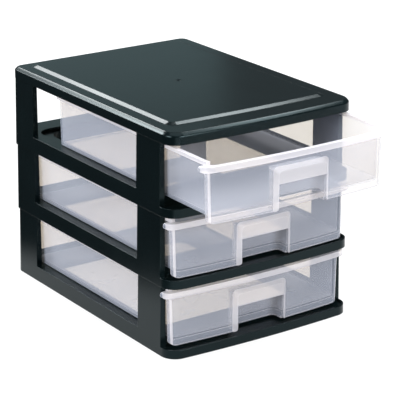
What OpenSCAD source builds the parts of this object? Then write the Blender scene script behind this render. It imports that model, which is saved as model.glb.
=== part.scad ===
// Three-tier stacking drawer unit: three equal frames, a top cover and three pull-out drawers.
// The front of the unit faces -Y. The origin is on the table, under the middle of the unit with
// its drawers pulled out as stated.

/* [Unit] */
// Width of the frames at the table
unit_width = 260; // [220:1:300]
// Depth of the frames from the middle of the bowed front to the back
unit_depth = 360; // [320:1:400]
// Height of one tier, from one frame to the next
tier_pitch = 85; // [78:1:110]
// How far the front bows out between the corners
front_bow = 4.8; // [0:0.1:8]
// Radius of the front corners, seen from above
front_corner = 19; // [14:1:30]
// Radius of the back corners, seen from above
rear_corner = 12; // [6:1:14]
// How much each frame narrows on every side on the way up
draft = 1.7; // [0:0.1:2]

/* [Frame] */
// Height of the rails that carry the drawer
rail_height = 19; // [16:0.5:24]
// Width of the rails, seen from above
rail_width = 30; // [24:1:40]
// Height of the lip round the front shelf
lip_height = 10.5; // [9:0.5:11]
// Height of the front shelf behind its lip
shelf_height = 8.5; // [7:0.5:9]
// Wall thickness of the frame and the cover
frame_wall = 2.5; // [2:0.1:2.6]
// Thickness of a corner post, from the outside to the drawer
post_thickness = 7.7; // [7.5:0.1:8.5]
// Depth of a front post
front_post_depth = 48; // [40:1:60]
// Depth of a rear post
rear_post_depth = 52; // [44:1:64]
// Distance from the front of the bow to the front posts
post_setback = 25; // [24:0.5:32]

/* [Drawer] */
// Half width of the drawer body at its floor
body_half_width = 117.8; // [110:0.1:118]
// Wall thickness of the drawer
drawer_wall = 2; // [1.6:0.1:2.4]
// Height of the top of the sides and the back above the frame's foot
side_top = 82.3; // [79:0.1:83]
// Half width of the drawer's front wall at its top
front_half_width = 124; // [121:0.1:125]
// How much the front wall narrows on each side towards its bottom
front_draft = 1.4; // [0:0.1:2]
// How far the drawer's front wall stands in front of the posts
plate_setback = 14; // [10:0.1:16]
// How far the drawer front bows out between its corners
drawer_bow = 5.8; // [0:0.1:7]
// Height of the bottom of the front wall above the frame's foot
skirt_bottom = 12; // [11.5:0.1:14]
// Height of the top of the front rim above the frame's foot
rim_top = 78.3; // [70:0.1:79]
// Height of the front rim, seen from the front
rim_height = 6.8; // [5:0.1:9]
// How far the front rim stands out from the front wall
rim_reach = 3.5; // [2:0.1:6]
// Place of the closed drawer's back wall, behind the middle of the frame
drawer_back = 160; // [150:1:165]

/* [Handle] */
// Width of the handle's flat face
handle_width = 67; // [55:0.5:80]
// How far the handle stands out from the front wall
handle_reach = 3.3; // [2:0.1:6]
// Height of the top of the handle's face above the frame's foot
handle_top = 59.2; // [54:0.1:64]
// How much wider and higher the handle is where it meets the front wall
handle_slope = 5.2; // [2:0.1:7]
// Height of the lower edge of the handle's front band
band_bottom = 44; // [38:0.5:50]
// Depth of the finger pocket, from the front of the band to its back wall
pocket_depth = 20.2; // [15:0.1:22]

/* [Drawers pulled out] */
// How far the lowest drawer is out
lower_pull = 0; // [0:1:240]
// How far the middle drawer is out
middle_pull = 7; // [0:1:240]
// How far the top drawer is out
upper_pull = 75.5; // [0:0.1:240]

/* [Cover] */
// Height of the upright band round the cover
cover_band = 9.5; // [7:0.5:14]
// Size of the cover's soft upper edge
cover_edge = 4.5; // [2:0.5:6]
// Height of the raised panel on the cover
panel_rise = 2; // [0.8:0.1:3]
// Margin beside the raised panel
panel_side_margin = 18.5; // [14:0.5:34]
// Margin in front of the raised panel
panel_front_margin = 30.5; // [20:0.5:44]
// Margin behind the raised panel
panel_rear_margin = 13.5; // [8:0.5:30]

/* [Hidden] */

frame_color = "#20292c";
drawer_color = "#dfe3ea";
arc_step = 7.5;         // one facet of a rounded corner, in degrees
bow_facets = 12;        // facets of a bowed front
over = 1;               // how far a cutter runs past what it cuts
sliver = 0.01;          // an overlap too small to matter

// frame
ring_front_margin = 60; // front shelf and rail, from the middle of the bow to the open middle
ring_rear_margin = 36;  // rear rail
ring_corner = 20;
step_depth = 4;         // step round the open middle, below the tops of the rails
step_side = 14;         // how much wider the opening is above the step, on each side
step_rear = 6;          // and at the back
rail_setback = 7.5;     // rails begin this far behind the front of the posts
core_skin = 1.5;        // outer wall of a hollow post at its top
core_width = 2.6;       // slot in a post, which is also the socket for the plug below
core_end = 9;           // wall of a post at the ends of its slot
plug_height = 6;
plug_play = 0.2;

half_width = unit_width / 2;
front_y = -unit_depth / 2;
rear_y = unit_depth / 2;
post_front = front_y + post_setback;
post_inner = half_width - post_thickness;
front_post_back = post_front + front_post_depth;
rear_post_front = rear_y - rear_post_depth;
ring_half_width = half_width - rail_width;
ring_front = front_y + ring_front_margin;
ring_rear = rear_y - ring_rear_margin;
crossbar_front = post_front + rail_setback;
core_outer = half_width - draft - core_skin;
core_inner = core_outer - core_width;

// drawer
slide_play = 0.3;       // under the floor
post_play = 0.5;        // beside the flange
stop_play = 0.7;        // between the rim's ends and the posts
floor_thickness = 2.2;
floor_round = 2;        // radius between the floor and the sides
body_draft = 1;         // how much the body widens on every side on the way up
body_corner = 6;
body_lead = 20;         // the body is drawn this far past the front wall and cut off in it
inside_corner = 8;
flange_height = 4.3;
flange_reach = 3;       // how far the flange stands out at the back
side_lead = 3.5;        // sides and flange end this far in front of the posts
return_lead = 2.5;      // the front wall's side returns end this far in front of the posts
plate_corner = 12;      // seen from above
skirt_corner = 9;       // seen from the front
rim_corner = 12;
rim_round = 3;          // ends of the rim, seen from the front
pocket_corner = 6;
cheek_land = 0.5;       // flat edge beside the finger pocket
handle_corner = 5.5;
mouth_round = 4.5;      // where the finger pocket runs out at the bottom of the front wall
back_corner = 2;        // corners of outlines that are cut off before they count

floor_z = rail_height + slide_play;
flange_half_width = post_inner - post_play;
inside_half_width = body_half_width + body_draft - drawer_wall;
wall_front = post_front - side_lead;
plate_y = post_front - plate_setback;
plate_back = post_front - return_lead;
rim_y = plate_y - rim_reach;
rim_back = post_front - stop_play;
rim_bottom = rim_top - rim_height;
handle_y = plate_y - handle_reach;
band_back = handle_y + drawer_wall;
pocket_y = handle_y + pocket_depth;
pocket_half_width = handle_width / 2 - cheek_land;

// cover
cover_lap = 0.7;        // how far the cover stands out past the tops of the posts
cover_front_lap = 1.5;  // the same in front, past the feet of the frames
cover_wall_extra = 0.8; // the cover's upright wall is this much thicker than the frames' walls
pad_inset = 0.5;        // pads are drawn in this much from the posts they sit on
socket_play = 0.5;      // above a plug
// inset and height of the cover's upper edge, step by step, as shares of its size
edge_steps = [[0, 0], [0.06, 0.22], [0.18, 0.4], [0.6, 0.82], [0.78, 0.94], [1, 1]];
panel_corner = 11;
panel_slope = 5.5;      // width of the slope round the raised panel

cover_z = 3 * tier_pitch;
cover_half_width = half_width - draft + cover_lap;
cover_front = front_y - cover_front_lap;
cover_rear = rear_y - draft + cover_lap;
cover_height = cover_band + cover_edge;

// sets the unit back, so that the origin is under the middle of it with its drawers out
front_reach = max(max(lower_pull, middle_pull, upper_pull) - min(handle_y, rim_y), -cover_front);
set_back = (front_reach - rear_y) / 2;

// Points of an arc, from one angle to another.
function arc(cx, cy, r, a0, a1) =
    let (n = max(2, ceil(abs(a1 - a0) / arc_step)))
    [for (i = [0:n]) let (a = a0 + (a1 - a0) * i / n) [cx + r * cos(a), cy + r * sin(a)]];

// Depth at which a front with its middle at y and a given bow lies, at a distance x from the middle.
function bow_y(x, y, bow, half) = y + bow * (x / half) ^ 2;

// Outline with a bowed front: front corners of radius rf, rear corners of radius rr.
function outline(half, front, rear, rf, rr, bow) =
    let (tilt = atan(2 * bow * (half - rf) / half ^ 2),
         xe = half - rf + rf * sin(tilt),
         yc = bow_y(xe, front, bow, half) + rf * cos(tilt))
    concat(
        arc(half - rr, rear - rr, rr, 0, 90),
        arc(-half + rr, rear - rr, rr, 90, 180),
        arc(-half + rf, yc, rf, 180, 270 - tilt),
        [for (i = [1:bow_facets - 1]) let (x = -xe + 2 * xe * i / bow_facets)
            [x, bow_y(x, front, bow, half)]],
        arc(half - rf, yc, rf, 270 + tilt, 360));

// Outline of a rounded rectangle between two corners.
function rounded(x0, y0, x1, y1, r) =
    concat(arc(x1 - r, y1 - r, r, 0, 90), arc(x0 + r, y1 - r, r, 90, 180),
           arc(x0 + r, y0 + r, r, 180, 270), arc(x1 - r, y0 + r, r, 270, 360));

// A solid skinned over outlines with equal counts of points, given as [height, outline].
module loft(sections) {
    n = len(sections[0][1]);
    last = len(sections) - 1;
    polyhedron(
        points = [for (s = sections) for (p = s[1]) [p.x, p.y, s[0]]],
        faces = concat(
            [[for (i = [0:n - 1]) i]],
            [[for (i = [n - 1:-1:0]) last * n + i]],
            [for (k = [0:last - 1]) for (i = [0:n - 1])
                let (a = k * n + i, b = k * n + (i + 1) % n)
                each [[a, a + n, b + n], [a, b + n, b]]]));
}

// The frame's outline, drawn in by a given amount.
function frame_points(inset) =
    outline(half_width - inset, front_y + inset, rear_y - inset,
            front_corner - inset, rear_corner - inset, front_bow);

module frame_outline(inset) {
    polygon(frame_points(inset));
}

// A box given by two corners.
module block(a, b) {
    translate(a) cube(b - a);
}

// The open middle of the frame's foot, grown by a given amount, and wider by side and rear above its step.
module ring_opening(grow, side = 0, rear = 0) {
    half = ring_half_width + side + grow;
    polygon(rounded(-half, ring_front - grow, half, ring_rear + rear + grow, ring_corner + grow));
}

// Whatever is drawn, once on each side.
module both_sides() {
    children();
    mirror([1, 0, 0]) children();
}

// Footprints of the posts on one side, drawn in at their ends by a given amount.
module post_plan(x0, x1, end = 0) {
    for (span = [[post_front, front_post_back], [rear_post_front, rear_y]])
        translate([x0, span[0] + end]) square([x1 - x0, span[1] - span[0] - 2 * end]);
}

// The foot: rails round an opening, with the low shelf and its lip in front.
module foot() {
    difference() {
        union() {
            block([-half_width - over, front_y - over, 0], [half_width + over, crossbar_front, lip_height]);
            block([-half_width - over, crossbar_front, 0], [half_width + over, rear_y + over, rail_height]);
        }
        // shelf behind the lip
        translate([0, 0, shelf_height]) linear_extrude(rail_height)
            intersection() {
                frame_outline(frame_wall);
                translate([-half_width, front_y]) square([unit_width, crossbar_front - front_y]);
            }
        // open middle with its step
        translate([0, 0, -over]) linear_extrude(rail_height + 2 * over) ring_opening(0);
        translate([0, 0, rail_height - step_depth]) linear_extrude(step_depth + over)
            ring_opening(0, step_side, step_rear);
        // hollow underside
        hollow(front_y, crossbar_front + frame_wall, shelf_height - frame_wall);
        hollow(crossbar_front + frame_wall, rear_y, rail_height - step_depth - frame_wall);
        hollow(crossbar_front + frame_wall, rear_y, rail_height - frame_wall, step_side, step_rear);
    }
}

// Part of the hollow underside, between two depths, beside the opening below or above its step.
module hollow(y0, y1, top, side = 0, rear = 0) {
    translate([0, 0, -over]) linear_extrude(top + over)
        difference() {
            intersection() {
                frame_outline(frame_wall);
                translate([-half_width, y0]) square([unit_width, y1 - y0]);
            }
            ring_opening(frame_wall, side, rear);
        }
}

// One frame: foot and four hollow posts, with a plug on each post for the frame above.
module tier_frame(tier) {
    color(frame_color)
    translate([0, set_back, tier * tier_pitch]) {
        difference() {
            intersection() {
                loft([[0, frame_points(0)], [tier_pitch, frame_points(draft)]]);
                union() {
                    foot();
                    both_sides() linear_extrude(tier_pitch) post_plan(post_inner, half_width + over);
                }
            }
            both_sides() translate([0, 0, -over]) linear_extrude(tier_pitch - frame_wall + over)
                post_plan(core_inner, core_outer, core_end);
        }
        both_sides() translate([0, 0, tier_pitch - over]) linear_extrude(plug_height + over)
            post_plan(core_inner + plug_play, core_outer - plug_play, core_end + plug_play);
    }
}

// The cover's outline, drawn in by a given amount.
function cover_points(inset) =
    outline(cover_half_width - inset, cover_front + inset, cover_rear - inset,
            front_corner - inset, rear_corner - inset, front_bow);

// Outline of the raised panel, drawn in by a given amount.
function panel_points(inset) =
    let (half = cover_half_width - panel_side_margin - inset)
    outline(half, cover_front + panel_front_margin + inset, cover_rear - panel_rear_margin - inset,
            panel_corner - inset, panel_corner - inset, front_bow * (half / cover_half_width) ^ 2);

// The cover: a shallow lid with a rounded upper edge and a raised panel, socketed for the posts.
module top_cover() {
    color(frame_color)
    translate([0, set_back, cover_z])
    difference() {
        union() {
            difference() {
                union() {
                    loft(concat(
                        [[0, cover_points(0)]],
                        [for (step = edge_steps)
                            [cover_band + cover_edge * step[1], cover_points(cover_edge * step[0])]]));
                    loft([[cover_height - over, panel_points(0)], [cover_height, panel_points(0)],
                          [cover_height + panel_rise, panel_points(panel_slope)]]);
                }
                translate([0, 0, -over]) linear_extrude(cover_height - frame_wall + over)
                    polygon(cover_points(frame_wall + cover_wall_extra));
            }
            // pads that sit on the posts
            linear_extrude(cover_height - frame_wall + sliver)
                intersection() {
                    both_sides() post_plan(post_inner, half_width - draft - pad_inset, draft + pad_inset);
                    polygon(cover_points(frame_wall));
                }
        }
        both_sides() translate([0, 0, -over]) linear_extrude(plug_height + socket_play + over)
            post_plan(core_inner, core_outer, core_end);
    }
}

// The drawer body's outline near its floor, drawn in by a given amount.
function body_points(inset) =
    let (half = body_half_width - inset)
    rounded(-half, plate_y - body_lead, half, drawer_back - body_draft - inset, body_corner - inset);

// A drafted solid with rounded lower edges: the outside or the inside of the drawer body.
module body_solid(inset, bottom, top) {
    loft(concat(
        [for (a = [0, 30, 60, 90])
            [bottom + floor_round * (1 - cos(a)), body_points(inset + floor_round * (1 - sin(a)))]],
        [[top, body_points(inset - body_draft)]]));
}

// Outline of everything behind the drawer front, which is drawn in to a given half width and depth.
function front_points(half, inset, corner) =
    outline(half, plate_y + inset, unit_depth, corner, back_corner,
            drawer_bow * (half / front_half_width) ^ 2);

// Something drawn in front view, run from one depth back to another.
module run_back(y0, y1) {
    translate([0, y1, 0]) rotate([90, 0, 0]) linear_extrude(y1 - y0) children();
}

// The solid outside or inside of the bowed front wall with its side returns.
module plate_solid(inset) {
    half = front_half_width - inset;
    intersection() {
        loft([[skirt_bottom - inset, front_points(half - front_draft, inset, plate_corner - inset)],
              [rim_top, front_points(half, inset, plate_corner - inset)]]);
        block([-half_width, rim_y, 0], [half_width, plate_back + inset, side_top]);
    }
}

// The front wall with its side returns, open below and behind, its lower corners rounded.
module plate() {
    corner_x = front_half_width - front_draft - skirt_corner;
    corner_z = skirt_bottom + skirt_corner;
    difference() {
        intersection() {
            plate_solid(0);
            run_back(rim_y, post_front)
                polygon(concat([[front_half_width, rim_top], [-front_half_width, rim_top]],
                               arc(-corner_x, corner_z, skirt_corner, 180, 270),
                               arc(corner_x, corner_z, skirt_corner, 270, 360)));
        }
        plate_solid(drawer_wall);
    }
}

// The upper rim of the drawer front, whose ends stop against the posts.
module rim() {
    intersection() {
        translate([0, 0, rim_bottom]) linear_extrude(rim_height)
            intersection() {
                polygon(front_points(half_width, -rim_reach, rim_corner));
                translate([-half_width, rim_y - over]) square([unit_width, rim_back - rim_y + over]);
            }
        run_back(rim_y - over, rim_back + over)
            polygon(rounded(-half_width, rim_bottom, half_width, rim_top, rim_round));
    }
}

// Outline with a straight base and rounded upper corners.
function portal(half, base, top, r) =
    concat([[-half, base], [half, base]],
           arc(half - r, top - r, r, 0, 90), arc(-half + r, top - r, r, 90, 180));

// The handle's solid outside: a raised face with sloping edges, and the pocket behind it.
module handle_shell() {
    rotate([90, 0, 0])
        loft([for (step = [[-plate_y - drawer_wall / 2, handle_slope], [-handle_y, 0]])
            [step[0], portal(handle_width / 2 + step[1], skirt_bottom, handle_top + step[1], handle_corner)]]);
    translate([0, 0, skirt_bottom]) linear_extrude(handle_top - skirt_bottom)
        polygon(portal(pocket_half_width + drawer_wall, plate_y + drawer_wall / 2, pocket_y + drawer_wall,
                       pocket_corner + drawer_wall));
}

// The space for the fingers: behind the band, open below, and in front below the band.
module pocket_space() {
    translate([0, 0, skirt_bottom - over]) linear_extrude(handle_top - drawer_wall - skirt_bottom + over)
        polygon(portal(pocket_half_width, band_back, pocket_y, pocket_corner));
    run_back(handle_y - over, plate_y + drawer_wall)
        polygon(concat(
            [[-pocket_half_width - mouth_round, skirt_bottom - over],
             [pocket_half_width + mouth_round, skirt_bottom - over]],
            arc(pocket_half_width + mouth_round, skirt_bottom + mouth_round, mouth_round, 270, 180),
            [[pocket_half_width, band_bottom], [-pocket_half_width, band_bottom]],
            arc(-pocket_half_width - mouth_round, skirt_bottom + mouth_round, mouth_round, 0, -90)));
}

// The body's outside with its edge flange, cut off inside the front wall.
module body_shell() {
    difference() {
        intersection() {
            union() {
                body_solid(0, floor_z, side_top);
                translate([0, 0, side_top - flange_height]) linear_extrude(flange_height)
                    polygon(rounded(-flange_half_width, wall_front - body_lead, flange_half_width,
                                    drawer_back + flange_reach, body_corner + flange_reach));
            }
            linear_extrude(side_top)
                polygon(front_points(front_half_width - drawer_wall / 2, drawer_wall / 2, plate_corner));
        }
        // step down to the rim
        block([-half_width, rim_y, rim_top - sliver], [half_width, wall_front, side_top + over]);
    }
}

// One drawer: body with a flanged edge, bowed front with its rim, and the handle.
module drawer(tier, pull) {
    color(drawer_color)
    translate([0, set_back - pull, tier * tier_pitch])
    difference() {
        union() {
            difference() {
                union() {
                    body_shell();
                    plate();
                    rim();
                }
                // inside
                intersection() {
                    body_solid(drawer_wall, floor_z + floor_thickness, side_top + over);
                    linear_extrude(side_top + 2 * over)
                        polygon(front_points(inside_half_width, drawer_wall, inside_corner));
                }
            }
            handle_shell();
        }
        pocket_space();
    }
}

module lower_frame() { tier_frame(0); }
module middle_frame() { tier_frame(1); }
module upper_frame() { tier_frame(2); }
module lower_drawer() { drawer(0, lower_pull); }
module middle_drawer() { drawer(1, middle_pull); }
module upper_drawer() { drawer(2, upper_pull); }

lower_frame();
middle_frame();
upper_frame();
top_cover();
lower_drawer();
middle_drawer();
upper_drawer();
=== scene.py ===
import math

import bmesh
import bpy
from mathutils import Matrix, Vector


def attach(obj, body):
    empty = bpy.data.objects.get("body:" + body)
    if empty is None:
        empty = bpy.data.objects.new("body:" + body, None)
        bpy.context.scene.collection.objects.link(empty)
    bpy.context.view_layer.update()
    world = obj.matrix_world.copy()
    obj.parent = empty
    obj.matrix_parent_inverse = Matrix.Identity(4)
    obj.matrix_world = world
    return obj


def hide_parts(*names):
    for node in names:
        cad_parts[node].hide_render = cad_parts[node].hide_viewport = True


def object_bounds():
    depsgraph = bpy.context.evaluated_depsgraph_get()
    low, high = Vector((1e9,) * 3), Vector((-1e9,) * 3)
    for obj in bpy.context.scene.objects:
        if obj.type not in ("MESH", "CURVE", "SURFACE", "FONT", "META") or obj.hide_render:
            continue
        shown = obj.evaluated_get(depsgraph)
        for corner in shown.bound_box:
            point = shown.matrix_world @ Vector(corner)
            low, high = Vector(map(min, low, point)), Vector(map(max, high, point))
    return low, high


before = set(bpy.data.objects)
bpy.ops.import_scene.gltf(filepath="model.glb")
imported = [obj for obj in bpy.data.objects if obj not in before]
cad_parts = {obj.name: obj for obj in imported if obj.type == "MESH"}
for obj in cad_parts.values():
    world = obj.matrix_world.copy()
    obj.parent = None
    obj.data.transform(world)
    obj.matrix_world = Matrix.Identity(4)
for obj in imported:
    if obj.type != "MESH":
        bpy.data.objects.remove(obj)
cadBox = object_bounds()

mm = 0.001
scene = bpy.context.scene
tiers = ("lower", "middle", "upper")


def srgb(code):
    # sRGB hex to the linear colour that the sockets take
    channels = [int(code[i:i + 2], 16) / 255 for i in (1, 3, 5)]
    linear = [c / 12.92 if c <= 0.04045 else ((c + 0.055) / 1.055) ** 2.4 for c in channels]
    return (*linear, 1.0)


def addNode(tree, kind, settings=None, links=None, **sockets):
    # settings are the node's own options, sockets its fixed values, links its inputs by name or place
    node = tree.nodes.new(kind)
    for key, value in (settings or {}).items():
        setattr(node, key, value)
    for key, value in sockets.items():
        node.inputs[key.replace("_", " ")].default_value = value
    for key, source in (links or {}).items():
        tree.links.new(source, node.inputs[key])
    return node


def newMaterial(name):
    material = bpy.data.materials.new(name)
    material.use_nodes = True
    material.node_tree.nodes.clear()
    return material, material.node_tree


print("stage: materials")

blackValues = {
    "deepColor": "#060d0f",
    "freshColor": "#091315",
    "glossColor": "#caecf3",  # the gloss is a little green and blue
    "cloudSize": 60 * mm,     # slow drift of the moulded gloss
    "textureSize": 0.9 * mm,  # spark-eroded texture of the mould, drawn coarser than it is
    "roughLow": 0.17,
    "roughHigh": 0.24,
    "gloss": 0.18,            # specular level
    "ior": 1.59,
    "bumpDepth": 0.02 * mm,
    "bumpStrength": 0.25,
    "edgeRadius": 0.8 * mm,   # moulded edges are never sharp
    "edgeSamples": 6,
    "markRadius": 0.1 * mm,   # edges of the small gate mark
}


def blackPolystyrene(name, edgeRadius):
    # black high-impact polystyrene, injection moulded: deep colour, a soft gloss, faint mould texture
    v = blackValues
    material, tree = newMaterial(name)
    where = addNode(tree, "ShaderNodeTexCoord").outputs["Object"]
    cloud = addNode(tree, "ShaderNodeTexNoise", links={"Vector": where},
                    Scale=1 / v["cloudSize"], Detail=2.0)
    grain = addNode(tree, "ShaderNodeTexNoise", links={"Vector": where},
                    Scale=1 / v["textureSize"], Detail=1.0)
    color = addNode(tree, "ShaderNodeMix", {"data_type": "RGBA"}, {"Factor": cloud.outputs["Fac"]})
    color.inputs[6].default_value = srgb(v["deepColor"])
    color.inputs[7].default_value = srgb(v["freshColor"])
    rough = addNode(tree, "ShaderNodeMapRange", links={"Value": cloud.outputs["Fac"]},
                    To_Min=v["roughLow"], To_Max=v["roughHigh"])
    edge = addNode(tree, "ShaderNodeBevel", {"samples": v["edgeSamples"]}, Radius=edgeRadius)
    bump = addNode(tree, "ShaderNodeBump",
                   links={"Height": grain.outputs["Fac"], "Normal": edge.outputs["Normal"]},
                   Strength=v["bumpStrength"], Distance=v["bumpDepth"])
    shader = addNode(tree, "ShaderNodeBsdfPrincipled",
                     links={"Base Color": color.outputs[2], "Roughness": rough.outputs["Result"],
                            "Normal": bump.outputs["Normal"]},
                     IOR=v["ior"], Specular_IOR_Level=v["gloss"])
    shader.inputs["Specular Tint"].default_value = srgb(v["glossColor"])
    addNode(tree, "ShaderNodeOutputMaterial", links={"Surface": shader.outputs["BSDF"]})
    return material


clearValues = {
    "wallColor": "#d9e3fa",   # what the milky wall scatters is bluish
    # whiter colour of thick parts, also the colour of the painted highlight along rounded edges
    "thickWhiteAndHighlightColor": "#f4f2fa",
    "passColor": "#fffbf5",   # what it lets through is warmer
    "wallHaze": 0.21,         # share of light that one surface of a 2 mm wall scatters
    "rimHaze": 0.55,          # thick rims are whiter
    "handleHaze": 0.4,        # the handle's raised face, with the pocket behind it
    "highlightHaze": 0.75,         # painted highlight: rounded edges are drawn whiter and less clear, for the light that comes out of them
    "slantHaze": 0.28,        # what a wall adds when it is seen along its face
    "slantPower": 3.0,        # higher keeps that to flatter angles
    "edgeRadius": 1.1 * mm,
    "edgeSamples": 6,
    "highlightStart": 0.99,        # cosine between rounded and flat normal where the painted edge highlight starts
    "highlightFull": 0.86,         # and where it is full
    "cloudSize": 45 * mm,     # flow of the melt shows as slow changes of haze
    "hazeSwing": 0.04,
    "wallRough": 0.28,
    "roughSwing": 0.08,
    "ior": 1.49,
}


def naturalPolypropylene(name, haze, tint):
    # natural polypropylene, injection moulded: milky and see-through, satin, whiter where it is thick,
    # with a painted highlight along its rounded edges
    v = clearValues
    material, tree = newMaterial(name)
    where = addNode(tree, "ShaderNodeTexCoord").outputs["Object"]
    cloud = addNode(tree, "ShaderNodeTexNoise", links={"Vector": where},
                    Scale=1 / v["cloudSize"], Detail=2.0)
    flow = addNode(tree, "ShaderNodeMapRange", links={"Value": cloud.outputs["Fac"]},
                   To_Min=haze - v["hazeSwing"] / 2, To_Max=haze + v["hazeSwing"] / 2)
    slant = addNode(tree, "ShaderNodeLayerWeight", Blend=0.5)
    steep = addNode(tree, "ShaderNodeMath", {"operation": "POWER"}, {0: slant.outputs["Facing"]})
    steep.inputs[1].default_value = v["slantPower"]
    longWay = addNode(tree, "ShaderNodeMapRange", links={"Value": steep.outputs[0]},
                      To_Max=v["slantHaze"])
    body = addNode(tree, "ShaderNodeMath", {"operation": "ADD", "use_clamp": True},
                   {0: flow.outputs["Result"], 1: longWay.outputs["Result"]})
    rounded = addNode(tree, "ShaderNodeBevel", {"samples": v["edgeSamples"]}, Radius=v["edgeRadius"])
    flat = addNode(tree, "ShaderNodeNewGeometry")
    turn = addNode(tree, "ShaderNodeVectorMath", {"operation": "DOT_PRODUCT"},
                   {0: rounded.outputs["Normal"], 1: flat.outputs["Normal"]})
    # painted highlight: along every edge, where the rounded normal turns away from the flat one, the
    # colour and haze go whiter
    edge = addNode(tree, "ShaderNodeMapRange", links={"Value": turn.outputs["Value"]},
                   From_Min=v["highlightStart"], From_Max=v["highlightFull"])
    share = addNode(tree, "ShaderNodeMix", {"data_type": "FLOAT"},
                    {"Factor": edge.outputs["Result"], 2: body.outputs[0]})
    share.inputs[3].default_value = v["highlightHaze"]
    color = addNode(tree, "ShaderNodeMix", {"data_type": "RGBA"}, {"Factor": edge.outputs["Result"]})
    color.inputs[6].default_value = srgb(tint)
    color.inputs[7].default_value = srgb(v["thickWhiteAndHighlightColor"])
    rough = addNode(tree, "ShaderNodeMapRange", links={"Value": cloud.outputs["Fac"]},
                    To_Min=v["wallRough"], To_Max=v["wallRough"] + v["roughSwing"])
    passed = addNode(tree, "ShaderNodeBsdfTransparent", Color=srgb(v["passColor"]))
    milk = addNode(tree, "ShaderNodeBsdfPrincipled",
                   links={"Base Color": color.outputs[2], "Roughness": rough.outputs["Result"],
                          "Normal": rounded.outputs["Normal"]},
                   IOR=v["ior"])
    wall = addNode(tree, "ShaderNodeMixShader",
                   links={"Fac": share.outputs[0], 1: passed.outputs["BSDF"], 2: milk.outputs["BSDF"]})
    addNode(tree, "ShaderNodeOutputMaterial", links={"Surface": wall.outputs["Shader"]})
    return material


blackPlastic = blackPolystyrene("blackPolystyreneMoulded", blackValues["edgeRadius"])
markPlastic = blackPolystyrene("blackPolystyreneMark", blackValues["markRadius"])
wallPlastic = naturalPolypropylene("naturalPolypropyleneWall", clearValues["wallHaze"],
                                   clearValues["wallColor"])
rimPlastic = naturalPolypropylene("naturalPolypropyleneRim", clearValues["rimHaze"],
                                  clearValues["thickWhiteAndHighlightColor"])
handlePlastic = naturalPolypropylene("naturalPolypropyleneHandle", clearValues["handleHaze"],
                                     clearValues["thickWhiteAndHighlightColor"])

print("stage: moulded pieces")

mouldValues = {
    "weld": 0.02 * mm,        # corners closer than this become one
    "flat": 0.4,              # faces that differ by less, in degrees, become one
    "crease": 12,             # a turn sharper than this is an edge, in degrees
}


def mouldedCopy(nodeName, pieceName, bodyName, materials, choice=None):
    # the CAD node's own mesh, merged and smooth; choice tells a face's material by its place
    v = mouldValues
    bm = bmesh.new()
    bm.from_mesh(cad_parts[nodeName].data)
    bmesh.ops.remove_doubles(bm, verts=bm.verts, dist=v["weld"])
    bmesh.ops.dissolve_limit(bm, angle_limit=math.radians(v["flat"]), verts=bm.verts, edges=bm.edges)
    for face in bm.faces:
        face.smooth = True
        face.material_index = choice(face.calc_center_median(), face.normal) if choice else 0
    for edge in bm.edges:
        edge.smooth = edge.calc_face_angle(math.pi) < math.radians(v["crease"])
    mesh = bpy.data.meshes.new(pieceName)
    bm.to_mesh(mesh)
    bm.free()
    for material in materials:
        mesh.materials.append(material)
    piece = bpy.data.objects.new(pieceName, mesh)
    scene.collection.objects.link(piece)
    normals = piece.modifiers.new("flatFacesStayFlat", "WEIGHTED_NORMAL")
    normals.keep_sharp = True
    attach(piece, bodyName)
    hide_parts(nodeName)


for tier in tiers:
    mouldedCopy(tier + "_frame", tier + "Frame", "housing", [blackPlastic])

# depths count from the middle of the frames with the drawer closed, heights from the frame's foot
drawerValues = {
    "tier": 85 * mm,           # height of one tier
    "halfDepth": 180 * mm,     # from the middle of the frames to their back
    "rimFoot": 71 * mm,        # above this the front wall carries its thick rim
    "rimBack": -160 * mm,      # in front of this a face belongs to the drawer's front
    "flangeFoot": 77.6 * mm,   # above this the sides and the back carry their flange
    "cornerInside": 118 * mm,  # outside this the front's corners meet the sides
    "handleHalf": 39 * mm,     # the handle with its sloping sides
    "handleTop": 65 * mm,
    "handleFront": -169.2 * mm,
    "handleTurn": -0.5,        # a face of the handle looks at least this far to the front
    "pulls": {"lower": 0, "middle": 7 * mm, "upper": 75.5 * mm},  # how far each drawer is out
}

cadMiddle = cadBox[1][1] - drawerValues["halfDepth"]


def drawerPart(tier):
    # 1 on the rim, the flange and the front corners of one drawer, 2 on its handle, else 0
    v = drawerValues
    level = tiers.index(tier) * v["tier"]
    offset = cadMiddle - v["pulls"][tier]

    def part(point, normal):
        high, deep = point.z - level, point.y - offset
        atFront = deep < v["rimBack"]
        inHandle = abs(point.x) < v["handleHalf"] and high < v["handleTop"]
        if inHandle and deep < v["handleFront"] and normal.y < v["handleTurn"]:
            return 2
        frontIsThick = high > v["rimFoot"] or abs(point.x) > v["cornerInside"]
        return 1 if high > v["flangeFoot"] or (atFront and frontIsThick) else 0
    return part


for tier in tiers:
    mouldedCopy(tier + "_drawer", tier + "Drawer", tier + "_tray",
                [wallPlastic, rimPlastic, handlePlastic], drawerPart(tier))

coverValues = {
    "gateRadius": 5 * mm,     # mark where the melt was let in, in the middle of the panel
    "gateHeight": 0.7 * mm,
    "gateSteps": 32,
    "gateWeld": 0.001 * mm,
    # section of the mark: distance from its middle and height, as shares of its radius and height
    "gateSection": [(0.0, 1.0), (0.1, 1.0), (0.45, 0.1), (0.62, 0.1), (0.74, 0.36), (0.84, 0.36),
                    (1.0, -0.3)],
}

mouldedCopy("top_cover", "topCover", "housing", [blackPlastic])


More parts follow.
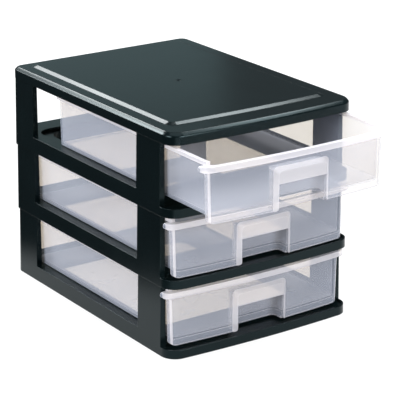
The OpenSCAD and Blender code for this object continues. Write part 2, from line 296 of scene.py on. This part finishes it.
def gateMark():
    # a low cone with a faint ring round it, spun from its section
    v = coverValues
    top = cadBox[1][2]
    bm = bmesh.new()
    line = [bm.verts.new((v["gateRadius"] * r, 0, v["gateHeight"] * h)) for r, h in v["gateSection"]]
    edges = [bm.edges.new(pair) for pair in zip(line, line[1:])]
    bmesh.ops.spin(bm, geom=line + edges, axis=(0, 0, 1), cent=(0, 0, 0), angle=math.tau,
                   steps=v["gateSteps"], use_merge=True)
    bmesh.ops.remove_doubles(bm, verts=bm.verts, dist=v["gateWeld"])
    bmesh.ops.recalc_face_normals(bm, faces=bm.faces)
    bmesh.ops.translate(bm, verts=bm.verts, vec=(0, cadMiddle, top))
    for face in bm.faces:
        face.smooth = True
    mesh = bpy.data.meshes.new("gateMark")
    bm.to_mesh(mesh)
    bm.free()
    mesh.materials.append(markPlastic)
    piece = bpy.data.objects.new("gateMark", mesh)
    scene.collection.objects.link(piece)
    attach(piece, "housing")


gateMark()

print("stage: studio")

studioValues = {
    "floorSize": 12.0,
    "paperColor": "#7c7d7e",
    "toothSize": 3 * mm,      # fine tooth of the paper
    "toothTone": 0.97,        # its darkest tone, as a share of the paper's
    "paperLift": 0.8,         # how far the paper is lifted to white for the camera
    "liftStart": 0.5,         # from this distance on the lift grows
    "liftFull": 1.8,          # and from here on it is full
    "reflectionLineTurn": 22,          # painted reflection: the line, turned in degrees, beyond which the floor shows dark in the gloss only
    "reflectionLine": -0.25,
    "reflectionLineFade": 0.05,
    "paintedDarkReflection": 0.12,         # painted dark reflection: what is left of the paper's brightness in the gloss beyond that line
    "worldColor": "#e2eff3",
    "worldStrength": 0.14,
    "aim": (0, 0, 0.14),      # the lamps look at this place, inside the object
    "lamps": [
        # name, place, width, depth, power, colour
        ("overheadSoftbox", (0.1, -0.2, 2.3), 2.4, 2.0, 25.0, "#ffffff"),
        ("sideStrip", (1.28, 0.0, 2.05), 2.2, 0.42, 38.0, "#ffffff"),
        ("backStrip", (-0.35, 2.05, 1.70), 2.3, 0.55, 44.0, "#ffffff"),
        ("edgeCard", (-1.17, 1.8, 1.24), 0.6, 0.9, 24.0, "#ffffff"),
        # dim blue-green card that shows in the gloss of the cover's top and gives part of its teal
        ("backCard", (0.74, 2.1, 0.64), 1.3, 0.76, 0.92, "#c2ecf0"),
        ("frontSoftbox", (0.5, -2.7, 0.95), 1.4, 1.0, 66.0, "#ffffff"),
        ("leftSoftbox", (-2.6, -0.5, 0.95), 1.4, 1.0, 63.0, "#ffffff"),
    ],
}


def seenAsWhite(tree, path):
    # 1 for the camera and for rays that pass through clear plastic or glass
    return addNode(tree, "ShaderNodeMath", {"operation": "MAXIMUM"},
                   {0: path.outputs["Is Camera Ray"], 1: path.outputs["Is Transmission Ray"]})


def paleFloor():
    # matt studio paper, lifted to white where the camera sees it; it keeps the object's soft shadow;
    # in the gloss it is lifted to white on one side of a line and darkened on the other, a painted
    # reflection
    v = studioValues
    bm = bmesh.new()
    bmesh.ops.create_grid(bm, x_segments=1, y_segments=1, size=v["floorSize"] / 2)
    mesh = bpy.data.meshes.new("studioFloor")
    bm.to_mesh(mesh)
    bm.free()
    floor = bpy.data.objects.new("studioFloor", mesh)
    scene.collection.objects.link(floor)
    material, tree = newMaterial("studioPaperMatt")
    where = addNode(tree, "ShaderNodeTexCoord").outputs["Object"]
    tooth = addNode(tree, "ShaderNodeTexNoise", links={"Vector": where},
                    Scale=1 / v["toothSize"], Detail=1.0)
    tone = addNode(tree, "ShaderNodeMapRange", links={"Value": tooth.outputs["Fac"]},
                   To_Min=v["toothTone"], To_Max=1.0)
    path = addNode(tree, "ShaderNodeLightPath")
    seen = seenAsWhite(tree, path)
    # painted reflection: for rays from the gloss the floor is lifted to white on one side of a line
    # and darkened beyond it
    turned = addNode(tree, "ShaderNodeMapping", links={"Vector": where},
                     Rotation=(0, 0, math.radians(v["reflectionLineTurn"])))
    side = addNode(tree, "ShaderNodeSeparateXYZ", links={"Vector": turned.outputs["Vector"]})
    litInReflection = addNode(tree, "ShaderNodeMapRange", {"interpolation_type": "SMOOTHSTEP"},
                    {"Value": side.outputs["X"]},
                    From_Min=v["reflectionLine"] - v["reflectionLineFade"], From_Max=v["reflectionLine"] + v["reflectionLineFade"])
    mirrored = addNode(tree, "ShaderNodeMath", {"operation": "MULTIPLY"},
                       {0: path.outputs["Is Glossy Ray"], 1: litInReflection.outputs["Result"]})
    dark = addNode(tree, "ShaderNodeMath", {"operation": "SUBTRACT"},
                   {0: path.outputs["Is Glossy Ray"], 1: mirrored.outputs[0]})
    kept = addNode(tree, "ShaderNodeMapRange", links={"Value": dark.outputs[0]},
                   To_Min=1.0, To_Max=v["paintedDarkReflection"])
    value = addNode(tree, "ShaderNodeMath", {"operation": "MULTIPLY"},
                    {0: tone.outputs["Result"], 1: kept.outputs["Result"]})
    paper = addNode(tree, "ShaderNodeHueSaturation", links={"Value": value.outputs[0]},
                    Color=srgb(v["paperColor"]))
    shader = addNode(tree, "ShaderNodeBsdfDiffuse", links={"Color": paper.outputs["Color"]})
    shown = addNode(tree, "ShaderNodeMath", {"operation": "MAXIMUM"},
                    {0: seen.outputs[0], 1: mirrored.outputs[0]})
    away = addNode(tree, "ShaderNodeVectorMath", {"operation": "LENGTH"}, {0: where})
    white = addNode(tree, "ShaderNodeMapRange", {"interpolation_type": "SMOOTHSTEP"},
                    {"Value": away.outputs["Value"]},
                    From_Min=v["liftStart"], From_Max=v["liftFull"], To_Min=v["paperLift"], To_Max=1.0)
    lift = addNode(tree, "ShaderNodeMath", {"operation": "MULTIPLY"},
                   {0: shown.outputs[0], 1: white.outputs["Result"]})
    glow = addNode(tree, "ShaderNodeEmission", links={"Strength": lift.outputs[0]})
    both = addNode(tree, "ShaderNodeAddShader",
                   links={0: shader.outputs["BSDF"], 1: glow.outputs["Emission"]})
    addNode(tree, "ShaderNodeOutputMaterial", links={"Surface": both.outputs["Shader"]})
    mesh.materials.append(material)


def softLight(name, place, width, depth, power, color, target):
    lamp = bpy.data.lights.new(name, "AREA")
    lamp.shape = "RECTANGLE"
    lamp.size = width
    lamp.size_y = depth
    lamp.energy = power
    lamp.color = srgb(color)[:3]
    holder = bpy.data.objects.new(name, lamp)
    holder.location = place
    holder.rotation_euler = (Vector(place) - Vector(target)).to_track_quat("Z", "Y").to_euler()
    holder.visible_camera = False
    scene.collection.objects.link(holder)


def studioWorld():
    # dim light from all round and in the gloss; the camera sees it white, as it sees the paper
    world = bpy.data.worlds.new("studioWorld")
    scene.world = world
    world.use_nodes = True
    tree = world.node_tree
    tree.nodes.clear()
    dim = addNode(tree, "ShaderNodeBackground", Color=srgb(studioValues["worldColor"]),
                  Strength=studioValues["worldStrength"])
    white = addNode(tree, "ShaderNodeBackground", Color=(1, 1, 1, 1), Strength=1.0)
    seen = seenAsWhite(tree, addNode(tree, "ShaderNodeLightPath"))
    both = addNode(tree, "ShaderNodeMixShader",
                   links={"Fac": seen.outputs[0], 1: dim.outputs[0], 2: white.outputs[0]})
    addNode(tree, "ShaderNodeOutputWorld", links={"Surface": both.outputs[0]})


paleFloor()
for name, place, width, depth, power, color in studioValues["lamps"]:
    softLight(name, place, width, depth, power, color, studioValues["aim"])
studioWorld()

cameraValues = {
    "azimuth": -34.4493,      # where the camera stands, in degrees
    "elevation": 19.1587,
    "lens": 166.055,          # in millimetres, as the sensor's width
    "sensor": 36.0,
    "place": (-1.187239, -1.742775, 0.861047),
    "clip": (0.1, 30),
}


def photoCamera():
    v = cameraValues
    data = bpy.data.cameras.new("photoCamera")
    data.lens = v["lens"]
    data.sensor_width = v["sensor"]
    data.clip_start, data.clip_end = v["clip"]
    camera = bpy.data.objects.new("photoCamera", data)
    turn, rise = math.radians(v["azimuth"]), math.radians(v["elevation"])
    back = Vector((math.sin(turn) * math.cos(rise), -math.cos(turn) * math.cos(rise), math.sin(rise)))
    camera.location = v["place"]
    camera.rotation_euler = back.to_track_quat("Z", "Y").to_euler()
    scene.collection.objects.link(camera)
    scene.camera = camera


photoCamera()
scene.view_settings.view_transform = "Standard"

print("stage: finish")
